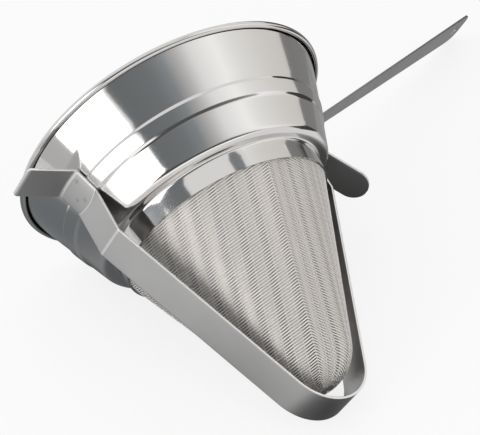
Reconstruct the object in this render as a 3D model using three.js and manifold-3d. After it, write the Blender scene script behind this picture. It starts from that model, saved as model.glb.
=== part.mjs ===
// Conical wire-mesh strainer with a tip guard, lying on its side on a table.
//
// Millimetres, +Z up from the table.  Every piece is drawn in the strainer's own axes first:
// the origin at the centre of the rim, +Z out of the mouth, +X towards the handle.  The whole
// strainer is then laid down on the three places where it touches a table: its rim, the lower
// edge of the guard's foot and the lower edge of the handle.
import * as THREE from 'three';
import { mergeVertices } from 'three/addons/utils/BufferGeometryUtils.js';
import Module from 'manifold-3d';

const DEGREE = Math.PI / 180;

// Fits
const SEAT_GAP = 0.3;                    // between pieces that are welded or clamped together

// Bowl: one pressed sheet with a rolled rim, a stiffening rib, a stepped shoulder and a collar
const RIM_RADIUS = 100;                  // outside of the rolled rim
const BOWL_SHEET = 0.8;
const WALL_HALF_ANGLE = 21.2 * DEGREE;
const RIM_WIRE_RADIUS = 0.9;
const RIM_WIRE_CLEARANCE = 0.2;
const RIM_ROLL_START = 180 * DEGREE - WALL_HALF_ANGLE;
const RIM_ROLL_END = -150 * DEGREE;      // the rolled edge stops just short of the wall
const RIB_DEPTH = 33;                    // from the rim plane to the middle of the rib
const RIB_WIDTH = 7;                     // across the crest
const RIB_FLANK = 1.6;                   // height of each sloping flank
const RIB_HEIGHT = 0.7;
const SHOULDER_DEPTH = 57;               // from the rim plane to the step
const SHOULDER_DROP = 2;                 // how far the step falls on its way in
const SHOULDER_RADIUS = 6;
const COLLAR_ROOT_RADIUS = 2;
const COLLAR_DEPTH = 70;                 // from the rim plane to the collar's lower edge
const COLLAR_RADIUS = 66;                // outside of the collar's lower edge
const COLLAR_HALF_ANGLE = 22 * DEGREE;

// Mesh: two nested cones of wire cloth, held in the collar by a clamp ring
const MESH_SHEET = 0.5;
const MESH_TIP_RADIUS = 28.5;            // outside of the outer cone's round tip
const MESH_OVERLAP = 8;                  // how far the cones reach up inside the collar
const CLAMP_SHEET = 0.8;
const CLAMP_HEIGHT = 7;

// Guard: one flat strap from a rest hook on the wall, round the tip and up to the handle
const STRAP_WIDTH = 22.5;
const STRAP_SHEET = 1.5;
const STRAP_BEND_RADIUS = 3;             // at the middle of the sheet
const GUARD_DEPTH = 194.3;               // from the rim plane to the outside of the foot
const GUARD_FOOT_RADIUS = 29.8;          // outside of the foot
const REST_HOOK_DEPTH = 23;              // where the strap leaves the wall to form the hook
const REST_HOOK_LENGTH = 28.5;
const REST_HOOK_RISE = 8 * DEGREE;
const REST_HOOK_CORNER = 4;
const STRAP_SEAT_END_DEPTH = 39.5;       // where the welded stretches end
const STRAP_TOP_DEPTH = 26;              // top of the strap behind the handle
const REST_SIDE_KNEE_DEPTH = 65.5;       // where the strap turns in towards the tip
const HANDLE_SIDE_KNEE_DEPTH = 57;

// Handle: a flat flared blade whose foot is welded to the wall
const HANDLE_SHEET = 1.5;
const HANDLE_ROOT_WIDTH = 16;
const HANDLE_END_WIDTH = 28;
const HANDLE_LENGTH = 266;               // from the bend to the end
const HANDLE_RISE = 20.5 * DEGREE;       // above the rim plane
const HANDLE_BEND_DEPTH = 7.6;
const HANDLE_FOOT_END_DEPTH = 39;
const HANDLE_BEND_RADIUS = 4;
const HANDLE_CORNER = 10;
const HANG_HOLE_RADIUS = 4.5;
const HANG_HOLE_FROM_END = 15;

// Pot hook: a round-ended tab under the handle, welded between the handle's foot and the strap
const POT_HOOK_SHEET = 1.5;
const POT_HOOK_LENGTH = 50.5;            // from the bend to the round end
const POT_HOOK_DROP = 47.5 * DEGREE;     // below the rim plane
const POT_HOOK_BEND_DEPTH = 20;
const POT_HOOK_FOOT_END_DEPTH = 39;
const POT_HOOK_BEND_RADIUS = 3;

// Flat ends: a plate cut to its own plan takes over from the bent strip a little past the bend
const PLATE_START = 8;                   // from the bend
const STRIP_END = 12;                    // from the bend, so the two lap before they are joined

// Smoothness
const BOWL_SEGMENTS = 72;
const MESH_SEGMENTS = 64;
const WIRE_SIDES = 8;
const BEND_STEPS = 5;
const SLIGHT_BEND_STEPS = 3;
const ROLL_STEPS = 10;
const TIP_STEPS = 7;
const FOOT_STEPS = 18;
const HOLE_STEPS = 20;
const MERGE_DISTANCE = 1e-4;             // corners nearer than this are one corner
const SETTLE_PASSES = 40;

const wasm = await Module();
wasm.setup();

const steel = (color, roughness) => new THREE.MeshStandardMaterial({ color, roughness, metalness: 1 });
const POLISHED_STEEL = steel(0xc9c8c6, 0.12);
const SATIN_STEEL = steel(0x9c9b9b, 0.38);
const WIRE_CLOTH = steel(0xbcb5b0, 0.45);

const point = (x, y) => new THREE.Vector2(x, y);

// Paths and outlines in a flat plane

// A bent path: straight stretches between the corners, each corner rounded to its own radius.
function bentPath(corners) {
  const path = [];
  corners.forEach(({ at, radius = 0, steps = BEND_STEPS }, i) => {
    if (radius === 0) {
      path.push(at);
      return;
    }
    const back = corners[i - 1].at.clone().sub(at).normalize();
    const ahead = corners[i + 1].at.clone().sub(at).normalize();
    const halfAngle = Math.acos(back.dot(ahead)) / 2;
    const centre = back.clone().add(ahead).setLength(radius / Math.sin(halfAngle)).add(at);
    const first = at.clone().addScaledVector(back, radius / Math.tan(halfAngle)).sub(centre);
    const turn = (Math.PI - 2 * halfAngle) * Math.sign(ahead.cross(back));
    for (let k = 0; k <= steps; k += 1) {
      path.push(first.clone().rotateAround(point(0, 0), (turn * k) / steps).add(centre));
    }
  });
  return path;
}

// The path moved sideways by a distance, to its left when the distance is positive.
function offsetPath(path, distance) {
  return path.map((here, i) => {
    const before = path[Math.max(i - 1, 0)];
    const after = path[Math.min(i + 1, path.length - 1)];
    const into = (i > 0 ? here.clone().sub(before) : after.clone().sub(here)).normalize();
    const out = (i < path.length - 1 ? after.clone().sub(here) : here.clone().sub(before)).normalize();
    const normal = point(-into.y - out.y, into.x + out.x).normalize();
    return here.clone().addScaledVector(normal, distance / normal.dot(point(-into.y, into.x)));
  });
}

// The closed outline of a sheet bent along a path.
function sheetOutline(path, sheet) {
  return [...offsetPath(path, -sheet / 2), ...offsetPath(path, sheet / 2).reverse()];
}

// The point where a straight run from outside touches a circle, on the side given by its sign.
function tangentPoint(from, centre, radius, side) {
  const reach = from.clone().sub(centre);
  const swing = side * Math.acos(radius / reach.length());
  return reach.setLength(radius).rotateAround(point(0, 0), swing).add(centre);
}

// Solids

// Booleans work on closed meshes whose shared corners are merged.
function toSolid(geometry) {
  const bare = geometry.index ? geometry.toNonIndexed() : geometry.clone();
  bare.deleteAttribute('normal');
  bare.deleteAttribute('uv');
  const merged = mergeVertices(bare, MERGE_DISTANCE);
  const vertProperties = new Float32Array(merged.attributes.position.array);
  const triVerts = new Uint32Array(merged.index.array);
  return new wasm.Manifold(new wasm.Mesh({ numProp: 3, vertProperties, triVerts }));
}

function toGeometry(solid) {
  const { vertProperties, triVerts } = solid.getMesh();
  const geometry = new THREE.BufferGeometry();
  geometry.setAttribute('position', new THREE.BufferAttribute(vertProperties, 3));
  geometry.setIndex(new THREE.BufferAttribute(triVerts, 1));
  return geometry;
}

const join = (first, second) => toGeometry(toSolid(first).add(toSolid(second)));

// A ring or cone turned about the strainer's axis from a profile of (radius, height) points.
function turned(profile, segments) {
  return new THREE.LatheGeometry(profile, segments).rotateX(90 * DEGREE);
}

// A closed outline in the (X, Z) plane, as wide as the strap or foot that it stands for.
function acrossStrip(outline, width) {
  const strip = new THREE.ExtrudeGeometry(new THREE.Shape(outline), { depth: width, bevelEnabled: false });
  return strip.translate(0, 0, -width / 2).rotateX(90 * DEGREE);
}

// A flat plate whose plan starts at a bend: plan x runs along the plate, plan y across it.
function plateFrom(plan, sheet, bend, direction) {
  const plate = new THREE.ExtrudeGeometry(plan, { depth: sheet, bevelEnabled: false, curveSegments: HOLE_STEPS });
  plate.translate(0, 0, -sheet / 2);
  const along = new THREE.Vector3(direction.x, 0, direction.y);
  const across = new THREE.Vector3(0, 1, 0);
  const normal = new THREE.Vector3().crossVectors(along, across);
  const place = new THREE.Matrix4().makeBasis(along, across, normal).setPosition(bend.x, 0, bend.y);
  return plate.applyMatrix4(place);
}

// Where things lie on the bowl

const RIM_ROLL_RADIUS = RIM_WIRE_RADIUS + RIM_WIRE_CLEARANCE + BOWL_SHEET;
const RIM_ROLL_CENTRE = point(RIM_RADIUS - RIM_ROLL_RADIUS, 0);
const ROLL_MIDDLE_RADIUS = RIM_ROLL_RADIUS - BOWL_SHEET / 2;

// Outside of the wall at a depth below the rim plane, in the (radius, height) plane.
const WALL_DOWN = point(-Math.sin(WALL_HALF_ANGLE), -Math.cos(WALL_HALF_ANGLE));
const WALL_OUT = point(Math.cos(WALL_HALF_ANGLE), -Math.sin(WALL_HALF_ANGLE));
const WALL_TOP = RIM_ROLL_CENTRE.clone().addScaledVector(WALL_OUT, BOWL_SHEET - RIM_ROLL_RADIUS);
function onWall(depth, outward = 0) {
  const down = (depth + WALL_TOP.y + outward * WALL_OUT.y) / -WALL_DOWN.y;
  return WALL_TOP.clone().addScaledVector(WALL_DOWN, down).addScaledVector(WALL_OUT, outward);
}

// A cone parallel to the collar, a distance inside its outer face, at a depth below the rim plane.
function inCollar(depth, inward) {
  const radius = COLLAR_RADIUS + (COLLAR_DEPTH - depth) * Math.tan(COLLAR_HALF_ANGLE);
  return point(radius - inward / Math.cos(COLLAR_HALF_ANGLE), -depth);
}

// What is welded to the wall stands on the crest of the rib, one sheet above the other.
const HANDLE_SEAT = RIB_HEIGHT + SEAT_GAP + HANDLE_SHEET / 2;
const POT_HOOK_SEAT = HANDLE_SEAT + HANDLE_SHEET / 2 + SEAT_GAP + POT_HOOK_SHEET / 2;
const STRAP_TOP_SEAT = POT_HOOK_SEAT + POT_HOOK_SHEET / 2 + SEAT_GAP + STRAP_SHEET / 2;
const REST_HOOK_SEAT = RIB_HEIGHT + SEAT_GAP + STRAP_SHEET / 2;

// The pieces

function bowl() {
  const middle = -BOWL_SHEET / 2;
  const crest = middle + RIB_HEIGHT;
  const ribTop = RIB_DEPTH - RIB_WIDTH / 2;
  const ribFoot = RIB_DEPTH + RIB_WIDTH / 2;
  const collarRoot = inCollar(SHOULDER_DEPTH + SHOULDER_DROP, BOWL_SHEET / 2);
  const wallAndCollar = bentPath([
    { at: inCollar(COLLAR_DEPTH, BOWL_SHEET / 2) },
    { at: collarRoot, radius: COLLAR_ROOT_RADIUS, steps: SLIGHT_BEND_STEPS },
    { at: onWall(SHOULDER_DEPTH, middle), radius: SHOULDER_RADIUS },
    { at: onWall(ribFoot + RIB_FLANK, middle) },
    { at: onWall(ribFoot, crest) },
    { at: onWall(ribTop, crest) },
    { at: onWall(ribTop - RIB_FLANK, middle) },
  ]);
  const roll = [];
  for (let k = 0; k <= ROLL_STEPS; k += 1) {
    const angle = THREE.MathUtils.lerp(RIM_ROLL_START, RIM_ROLL_END, k / ROLL_STEPS);
    roll.push(point(Math.cos(angle), Math.sin(angle)).multiplyScalar(ROLL_MIDDLE_RADIUS).add(RIM_ROLL_CENTRE));
  }
  const outline = sheetOutline([...wallAndCollar, ...roll], BOWL_SHEET);
  return turned([...outline, outline[0]], BOWL_SEGMENTS);
}

function rimWire() {
  const section = [];
  for (let k = 0; k <= WIRE_SIDES; k += 1) {
    const angle = (k % WIRE_SIDES) * (360 / WIRE_SIDES) * DEGREE;
    section.push(point(Math.cos(angle), Math.sin(angle)).multiplyScalar(RIM_WIRE_RADIUS).add(RIM_ROLL_CENTRE));
  }
  return turned(section, BOWL_SEGMENTS);
}

// One cone of wire cloth whose outer face lies a distance inside the collar's outer face.
const OUTER_MESH_INSET = BOWL_SHEET + SEAT_GAP;
const INNER_MESH_INSET = OUTER_MESH_INSET + MESH_SHEET + SEAT_GAP;
const CLAMP_INSET = INNER_MESH_INSET + MESH_SHEET + SEAT_GAP;
function meshCone(inset) {
  const face = (inward) => {
    const radius = MESH_TIP_RADIUS - (inward - OUTER_MESH_INSET);
    const top = inCollar(COLLAR_DEPTH - MESH_OVERLAP, inward);
    const taper = Math.tan(COLLAR_HALF_ANGLE);
    const centreHeight = top.y - top.x / taper + radius / Math.sin(COLLAR_HALF_ANGLE);
    const points = [top];
    for (let k = 0; k <= TIP_STEPS; k += 1) {
      const angle = THREE.MathUtils.lerp(-COLLAR_HALF_ANGLE, -90 * DEGREE, k / TIP_STEPS);
      points.push(point(radius * Math.cos(angle), centreHeight + radius * Math.sin(angle)));
    }
    points.at(-1).x = 0;
    return points;
  };
  const profile = [...face(inset).reverse(), ...face(inset + MESH_SHEET)];
  return turned(profile, MESH_SEGMENTS);
}

function clampRing() {
  const middle = CLAMP_INSET + CLAMP_SHEET / 2;
  const path = [inCollar(COLLAR_DEPTH, middle), inCollar(COLLAR_DEPTH - CLAMP_HEIGHT, middle)];
  const outline = sheetOutline(path, CLAMP_SHEET);
  return turned([...outline, outline[0]], BOWL_SEGMENTS);
}

// A point of the rest side, which is the handle side seen in a mirror.
const mirrored = (p) => point(-p.x, p.y);

function guardStrap() {
  const footCentre = point(0, GUARD_FOOT_RADIUS - GUARD_DEPTH);
  const footRadius = GUARD_FOOT_RADIUS - STRAP_SHEET / 2;
  const hookBend = mirrored(onWall(REST_HOOK_DEPTH, REST_HOOK_SEAT));
  const restSeatEnd = mirrored(onWall(STRAP_SEAT_END_DEPTH, REST_HOOK_SEAT));
  const restKnee = point(restSeatEnd.x, -REST_SIDE_KNEE_DEPTH);
  const handleSeatEnd = onWall(STRAP_SEAT_END_DEPTH, STRAP_TOP_SEAT);
  const handleKnee = point(handleSeatEnd.x, -HANDLE_SIDE_KNEE_DEPTH);
  const footStart = tangentPoint(restKnee, footCentre, footRadius, 1);
  const footEnd = tangentPoint(handleKnee, footCentre, footRadius, -1);
  const foot = [];
  const startAngle = footStart.clone().sub(footCentre).angle();
  const endAngle = footEnd.clone().sub(footCentre).angle();
  for (let k = 0; k <= FOOT_STEPS; k += 1) {
    const angle = THREE.MathUtils.lerp(startAngle, endAngle, k / FOOT_STEPS);
    foot.push(point(Math.cos(angle), Math.sin(angle)).multiplyScalar(footRadius).add(footCentre));
  }
  const hookDirection = point(-Math.cos(REST_HOOK_RISE), Math.sin(REST_HOOK_RISE));
  const slightBend = { radius: STRAP_BEND_RADIUS, steps: SLIGHT_BEND_STEPS };
  const restSide = bentPath([
    { at: hookBend.clone().addScaledVector(hookDirection, STRIP_END) },
    { at: hookBend, radius: STRAP_BEND_RADIUS },
    { at: restSeatEnd, ...slightBend },
    { at: restKnee, ...slightBend },
    { at: footStart },
  ]).slice(0, -1);
  const handleSide = bentPath([
    { at: footEnd },
    { at: handleKnee, ...slightBend },
    { at: handleSeatEnd, ...slightBend },
    { at: onWall(STRAP_TOP_DEPTH, STRAP_TOP_SEAT) },
  ]).slice(1);
  const strip = acrossStrip(sheetOutline([...restSide, ...foot, ...handleSide], STRAP_SHEET), STRAP_WIDTH);

  // The hook's flat end with its two rounded corners.
  const half = STRAP_WIDTH / 2;
  const turn = REST_HOOK_LENGTH - REST_HOOK_CORNER;
  const plan = new THREE.Shape();
  plan.moveTo(PLATE_START, -half);
  plan.lineTo(turn, -half);
  plan.absarc(turn, REST_HOOK_CORNER - half, REST_HOOK_CORNER, -90 * DEGREE, 0, false);
  plan.lineTo(REST_HOOK_LENGTH, half - REST_HOOK_CORNER);
  plan.absarc(turn, half - REST_HOOK_CORNER, REST_HOOK_CORNER, 0, 90 * DEGREE, false);
  plan.lineTo(PLATE_START, half);
  plan.closePath();
  return join(strip, plateFrom(plan, STRAP_SHEET, hookBend, hookDirection));
}

function handle() {
  const bend = onWall(HANDLE_BEND_DEPTH, HANDLE_SEAT);
  const direction = point(Math.cos(HANDLE_RISE), Math.sin(HANDLE_RISE));
  const foot = bentPath([
    { at: onWall(HANDLE_FOOT_END_DEPTH, HANDLE_SEAT) },
    { at: bend, radius: HANDLE_BEND_RADIUS },
    { at: bend.clone().addScaledVector(direction, STRIP_END) },
  ]);
  const strip = acrossStrip(sheetOutline(foot, HANDLE_SHEET), HANDLE_ROOT_WIDTH);

  const rootHalf = HANDLE_ROOT_WIDTH / 2;
  const endHalf = HANDLE_END_WIDTH / 2;
  const flare = Math.atan2(endHalf - rootHalf, HANDLE_LENGTH - STRIP_END);
  const cornerX = HANDLE_LENGTH - HANDLE_CORNER;
  const cornerY = endHalf - HANDLE_CORNER;
  const plan = new THREE.Shape();
  plan.moveTo(PLATE_START, -rootHalf);
  plan.lineTo(STRIP_END, -rootHalf);
  plan.absarc(cornerX, -cornerY, HANDLE_CORNER, -90 * DEGREE + flare, 0, false);
  plan.absarc(cornerX, cornerY, HANDLE_CORNER, 0, 90 * DEGREE - flare, false);
  plan.lineTo(STRIP_END, rootHalf);
  plan.lineTo(PLATE_START, rootHalf);
  plan.closePath();
  const hole = new THREE.Path();
  hole.absarc(HANDLE_LENGTH - HANG_HOLE_FROM_END, 0, HANG_HOLE_RADIUS, 0, 360 * DEGREE, true);
  plan.holes.push(hole);
  return join(strip, plateFrom(plan, HANDLE_SHEET, bend, direction));
}

function potHook() {
  const bend = onWall(POT_HOOK_BEND_DEPTH, POT_HOOK_SEAT);
  const direction = point(Math.cos(POT_HOOK_DROP), -Math.sin(POT_HOOK_DROP));
  const half = STRAP_WIDTH / 2;
  const foot = bentPath([
    { at: onWall(POT_HOOK_FOOT_END_DEPTH, POT_HOOK_SEAT) },
    { at: bend, radius: POT_HOOK_BEND_RADIUS },
    { at: bend.clone().addScaledVector(direction, STRIP_END) },
  ]);
  const strip = acrossStrip(sheetOutline(foot, POT_HOOK_SHEET), STRAP_WIDTH);
  const plan = new THREE.Shape();
  plan.moveTo(PLATE_START, -half);
  plan.lineTo(POT_HOOK_LENGTH - half, -half);
  plan.absarc(POT_HOOK_LENGTH - half, 0, half, -90 * DEGREE, 90 * DEGREE, false);
  plan.lineTo(PLATE_START, half);
  plan.closePath();
  return join(strip, plateFrom(plan, POT_HOOK_SHEET, bend, direction));
}

// Laying the strainer down

const strainer = new THREE.Group();
function addPiece(name, geometry, material) {
  const mesh = new THREE.Mesh(geometry, material);
  mesh.name = name;
  strainer.add(mesh);
  return mesh;
}

const bowlPiece = addPiece('bowl', bowl(), POLISHED_STEEL);
addPiece('rim_wire', rimWire(), SATIN_STEEL);
addPiece('outer_mesh', meshCone(OUTER_MESH_INSET), WIRE_CLOTH);
addPiece('inner_mesh', meshCone(INNER_MESH_INSET), WIRE_CLOTH);
addPiece('mesh_clamp_ring', clampRing(), POLISHED_STEEL);
const guardPiece = addPiece('guard_strap', guardStrap(), SATIN_STEEL);
const handlePiece = addPiece('handle', handle(), SATIN_STEEL);
addPiece('pot_hook', potHook(), SATIN_STEEL);

// The corner of a piece that lies lowest when a direction points up.
function lowestCorner(piece, up) {
  const corners = piece.geometry.attributes.position;
  const corner = new THREE.Vector3();
  const lowest = new THREE.Vector3();
  let least = Infinity;
  for (let i = 0; i < corners.count; i += 1) {
    const height = corner.fromBufferAttribute(corners, i).dot(up);
    if (height < least) {
      least = height;
      lowest.copy(corner);
    }
  }
  return lowest;
}

// The direction that is up when three pieces all touch the table, found by settling from a guess.
function restingUp(pieces, guess) {
  let up = guess.clone().normalize();
  for (let pass = 0; pass < SETTLE_PASSES; pass += 1) {
    const [first, second, third] = pieces.map((piece) => lowestCorner(piece, up));
    const next = second.clone().sub(first).cross(third.clone().sub(first)).normalize();
    up = next.dot(up) < 0 ? next.negate() : next;
  }
  return up;
}

// The mouth faces +Y, tipped a little upwards, and the handle points to +X.
const roughlyUp = new THREE.Vector3(-0.3, -0.9, 0.4);
const up = restingUp([bowlPiece, guardPiece, handlePiece], roughlyUp);
const mouthward = new THREE.Vector3(0, 0, 1).addScaledVector(up, -up.z).normalize();
const handleward = new THREE.Vector3().crossVectors(mouthward, up);
const standing = new THREE.Matrix4().makeBasis(handleward, mouthward, up);
strainer.quaternion.setFromRotationMatrix(standing.transpose());
strainer.updateMatrixWorld(true);

const box = new THREE.Box3().setFromObject(strainer, true);
const middle = box.getCenter(new THREE.Vector3());
strainer.position.set(-middle.x, -middle.y, -box.min.z);

const part = new THREE.Group();
part.add(strainer);
export default part;
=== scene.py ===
"""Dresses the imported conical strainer: polished bowl, woven cone, satin strap, handle and hooks.

Metres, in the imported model's frame.  Pieces are drawn in the strainer's own axes, with the origin at
the centre of the rim, +Z out of the mouth and +X towards the handle, and are then laid down where the
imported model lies.
"""
import math

import bpy
import numpy as np
from mathutils import Matrix, Vector


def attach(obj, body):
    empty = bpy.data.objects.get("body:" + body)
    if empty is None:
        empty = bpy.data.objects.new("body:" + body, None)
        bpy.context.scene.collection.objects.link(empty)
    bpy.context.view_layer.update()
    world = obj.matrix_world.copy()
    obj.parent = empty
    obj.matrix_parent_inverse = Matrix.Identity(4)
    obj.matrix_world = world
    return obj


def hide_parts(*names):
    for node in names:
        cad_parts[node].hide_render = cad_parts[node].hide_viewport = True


bl_info = {
    "name": "Conical strainer",
    "version": (1, 0, 0),
    "blender": (4, 5, 0),
    "location": "3D View > Sidebar > Strainer",
    "description": "Dresses a packed conical strainer with smooth metal, woven cloth and a studio",
    "category": "Add Mesh",
}

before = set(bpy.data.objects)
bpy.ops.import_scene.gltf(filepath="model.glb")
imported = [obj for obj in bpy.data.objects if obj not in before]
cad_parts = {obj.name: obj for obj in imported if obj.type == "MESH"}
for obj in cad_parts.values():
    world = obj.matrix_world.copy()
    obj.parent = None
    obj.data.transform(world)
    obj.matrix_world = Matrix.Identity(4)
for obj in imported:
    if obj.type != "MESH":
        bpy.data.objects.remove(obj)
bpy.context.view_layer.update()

MM = 0.001
SMOOTH_ANGLE = math.radians(32)
FULL_TURN = 2 * math.pi
FOOT_SPACING = 3 * MM


def length(name, description, millimetres):
    """A size that a user may change, given in millimetres and kept in metres."""
    return bpy.props.FloatProperty(
        name=name, description=description, default=millimetres * MM, subtype="DISTANCE", unit="LENGTH"
    )


def angle(name, description, degrees):
    """An angle that a user may change, given in degrees and kept in radians."""
    return bpy.props.FloatProperty(
        name=name, description=description, default=math.radians(degrees), subtype="ANGLE", unit="ROTATION"
    )


def linear(hex_colour):
    """An sRGB hex colour as linear red, green, blue and alpha, by the curve of the sRGB standard."""
    parts = [int(hex_colour[i:i + 2], 16) / 255 for i in (1, 3, 5)]
    return [p / 12.92 if p <= 0.04045 else ((p + 0.055) / 1.055) ** 2.4 for p in parts] + [1.0]


def colour(name, description, hex_colour):
    """A colour that a user may change, given as an sRGB hex value."""
    return bpy.props.FloatVectorProperty(
        name=name, description=description, default=linear(hex_colour), subtype="COLOR", size=4, min=0, max=1
    )


class BowlSizes(bpy.types.PropertyGroup):
    """The pressed bowl with its rolled rim, rib, shoulder and collar."""

    rim_radius: length("Rim radius", "Outside of the rolled rim", 100)
    sheet: length("Sheet", "Thickness of the bowl's sheet", 0.8)
    wall_angle: angle("Wall angle", "Slope of the wall from the axis", 21.2)
    roll_radius: length("Roll radius", "Outside of the rolled bead", 1.9)
    roll_end: angle("Roll end", "Where the rolled edge stops short of the wall", -112)
    rib_depth: length("Rib depth", "From the rim plane to the middle of the rib", 33)
    rib_width: length("Rib width", "Across the crest of the rib", 7)
    rib_flank: length("Rib flank", "Height of each sloping flank", 1.6)
    rib_height: length("Rib height", "How far the rib stands out", 0.7)
    rib_fillet: length("Rib fillet", "Rounding of the rib's creases", 0.9)
    rib_toe: length("Rib toe", "Wider rounding where the rib runs out below", 5)
    shoulder_depth: length("Shoulder depth", "From the rim plane to the step", 57)
    shoulder_drop: length("Shoulder drop", "How far the step falls on its way in", 0.3)
    shoulder_radius: length("Shoulder radius", "Rounding above the step", 5.0)
    collar_root: length("Collar root", "Rounding below the step", 2.0)
    collar_depth: length("Collar depth", "From the rim plane to the collar's edge", 70)
    collar_radius: length("Collar radius", "Outside of the collar's edge", 66)
    collar_angle: angle("Collar angle", "Slope of the collar from the axis", 8)


class ClothSizes(bpy.types.PropertyGroup):
    """The two cones of wire cloth and the ring that clamps them."""

    seat_gap: length("Seat gap", "Between pieces that are clamped or welded together", 0.3)
    sheet: length("Cloth", "Thickness of one layer of cloth", 0.5)
    cone_angle: angle("Cone angle", "Slope of the cones from the axis", 22)
    tip_radius: length("Tip radius", "Outside of the outer cone's round tip", 28.5)
    overlap: length("Overlap", "How far the cones reach up inside the collar", 7)
    tip_clear: length("Tip clear", "How far short of the tip's middle the wires stop", 4)
    pitch: length("Pitch", "Spacing of the drawn cross wires", 1.5)
    wire_width: length("Wire width", "Half the width of a drawn cross wire", 0.43)
    wire_height: length("Wire height", "Half the height of a drawn cross wire", 0.15)
    weave: length("Weave", "How far a wire goes over and under", 0.1)
    column: length("Column", "Spacing of the columns in which the gaps of the two layers meet", 11)
    slant: angle("Slant", "How steeply the cross wires run down, away from the middle line", 24)
    ridge_slant: angle("Ridge slant", "The same on the steep run beside the middle line", 42)
    ridge_run: length("Ridge run", "Width of the steep run beside the middle line", 8)
    ridge_back: length("Ridge back", "Width over which the wires come back up beside it", 5)
    # Painted shade: between these depths the cloth's gaps are painted darker towards the tip, which lies in
    # shade.
    tip_shade_from: length("Deep from", "Depth below the rim where the gaps begin to look darker", 90)
    tip_shade_to: length("Deep to", "Depth below the rim where they are darkest", 180)
    lie: angle("Lie", "How the cloth's long wires lie on the flat cone", 32.4)
    ridge: length("Ridge", "Where the middle line of the cloth lies on the flat cone", -15.3)
    seam: angle("Seam", "Where the cloth's edges meet, round from the handle", 44)
    clamp_sheet: length("Clamp sheet", "Thickness of the clamp ring", 0.8)
    clamp_rise: length("Clamp rise", "From the collar's edge up to the clamp ring", 1.5)
    clamp_height: length("Clamp height", "Height of the clamp ring", 6)


class StrapSizes(bpy.types.PropertyGroup):
    """The flat strap that guards the tip and forms the rest hook."""

    width: length("Width", "Width of the strap", 22.5)
    sheet: length("Sheet", "Thickness of the strap, the handle and the hook", 1.5)
    edge: length("Edge", "Rounding of the sheared edges", 0.35)
    bend: length("Bend", "Bend radius at the middle of the sheet", 3)
    guard_depth: length("Guard depth", "From the rim plane to the outside of the foot", 194.3)
    foot_radius: length("Foot radius", "Outside of the foot", 29.8)
    hook_depth: length("Hook depth", "Where the strap leaves the wall to form the hook", 23)
    hook_length: length("Hook length", "From the bend to the hook's end", 28.5)
    hook_rise: angle("Hook rise", "Tilt of the hook above the rim plane", 8)
    hook_corner: length("Hook corner", "Rounding of the hook's corners", 2)
    hook_lip: length("Hook lip", "How far the hook's end is turned up", 0.7)
    seat_end: length("Seat end", "Depth where the welded stretches end", 39.5)
    top_depth: length("Top depth", "Depth of the strap's top behind the handle", 26)
    rest_knee: length("Rest knee", "Depth of the knee on the rest side", 65.5)
    handle_knee: length("Handle knee", "Depth of the knee on the handle side", 57)
    weld_radius: length("Weld radius", "Radius of a spot weld's mark", 1.6)
    weld_dip: length("Weld dip", "Depth of a spot weld's mark", 0.1)


class HandleSizes(bpy.types.PropertyGroup):
    """The flat flared handle and the pot hook below it."""

    root_width: length("Root width", "Width where the handle leaves the wall", 16)
    end_width: length("End width", "Width at the flared end", 28)
    reach: length("Reach", "From the bend to the handle's end", 266)
    rise: angle("Rise", "Tilt of the handle above the rim plane", 20.5)
    bend_depth: length("Bend depth", "Depth of the handle's bend", 7.6)
    foot_depth: length("Foot depth", "Depth where the welded feet end", 39)
    bend: length("Bend", "Bend radius at the handle's root", 4)
    corner: length("Corner", "Rounding of the end's corners", 10)
    root: length("Root", "Straight stretch before the flare begins", 12)
    hole_radius: length("Hole radius", "Radius of the hanging hole", 4.5)
    hole_inset: length("Hole inset", "From the handle's end to the hole's middle", 15)
    hook_reach: length("Hook reach", "From the bend to the pot hook's round end", 50.5)
    hook_drop: angle("Hook drop", "Tilt of the pot hook below the rim plane", 47.5)
    hook_bend_depth: length("Hook bend depth", "Depth of the pot hook's bend", 20)
    hook_bend: length("Hook bend", "Bend radius of the pot hook", 3)


class Finishes(bpy.types.PropertyGroup):
    """The colours of the metals and of the studio."""

    polished: colour("Polished steel", "Mirror-polished stainless sheet", "#d2d0ce")
    satin: colour("Satin steel", "Rolled stainless strap with a satin face", "#bbbab9")
    satin_dull: colour("Dull satin", "Duller patches of the satin face", "#aeadad")
    # Painted highlight: laid on the sheared edges and sharp bends of the strap and the hook, for their bright
    # highlight lines.
    edge: colour("Edge", "Burnished edges of the strap, the handle and the hook", "#eeedec")
    wire: colour("Wire", "Drawn stainless wire", "#f5f2ef")
    cloth: colour("Cloth", "Wires of the inner cloth", "#e2deda")
    # Painted shade: the gaps between the inner cloth's wires, where the shaded inside shows through.
    cloth_gap_shade: colour("Cloth gaps", "Gaps between the wires of the inner cloth", "#a8a39f")
    # Painted shade: the gap colour near the tip, where the cone lies in shade.
    cloth_gap_tip_shade: colour("Deep cloth gaps", "The same gaps near the tip, in the dark", "#4e4843")
    dull: colour("Dull steel", "Spot-weld marks and the handle's sheared edges", "#95918e")
    # Painted shade: the rim wire's dark colour stands in for the shade in the groove at the rolled rim's open
    # edge.
    rim_wire: colour("Rim wire", "Dull wire inside the rolled rim", "#3d3b39")
    floor: colour("Floor", "Pale studio floor", "#f4f4f4")


class StrainerSettings(bpy.types.PropertyGroup):
    """All the sizes and colours of the strainer."""

    bowl: bpy.props.PointerProperty(type=BowlSizes, name="Bowl", description="Sizes of the bowl")
    cloth: bpy.props.PointerProperty(type=ClothSizes, name="Cloth", description="Sizes of the wire cloth")
    strap: bpy.props.PointerProperty(type=StrapSizes, name="Strap", description="Sizes of the strap")
    handle: bpy.props.PointerProperty(type=HandleSizes, name="Handle", description="Sizes of the handle")
    finish: bpy.props.PointerProperty(type=Finishes, name="Finishes", description="Colours")


def settings():
    """The strainer's settings in the open scene."""
    return bpy.context.scene.strainer


# Where the strainer lies


def node_points(name):
    """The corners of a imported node, as rows of x, y and z."""
    return np.array([v.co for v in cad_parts[name].data.vertices], float)


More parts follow.
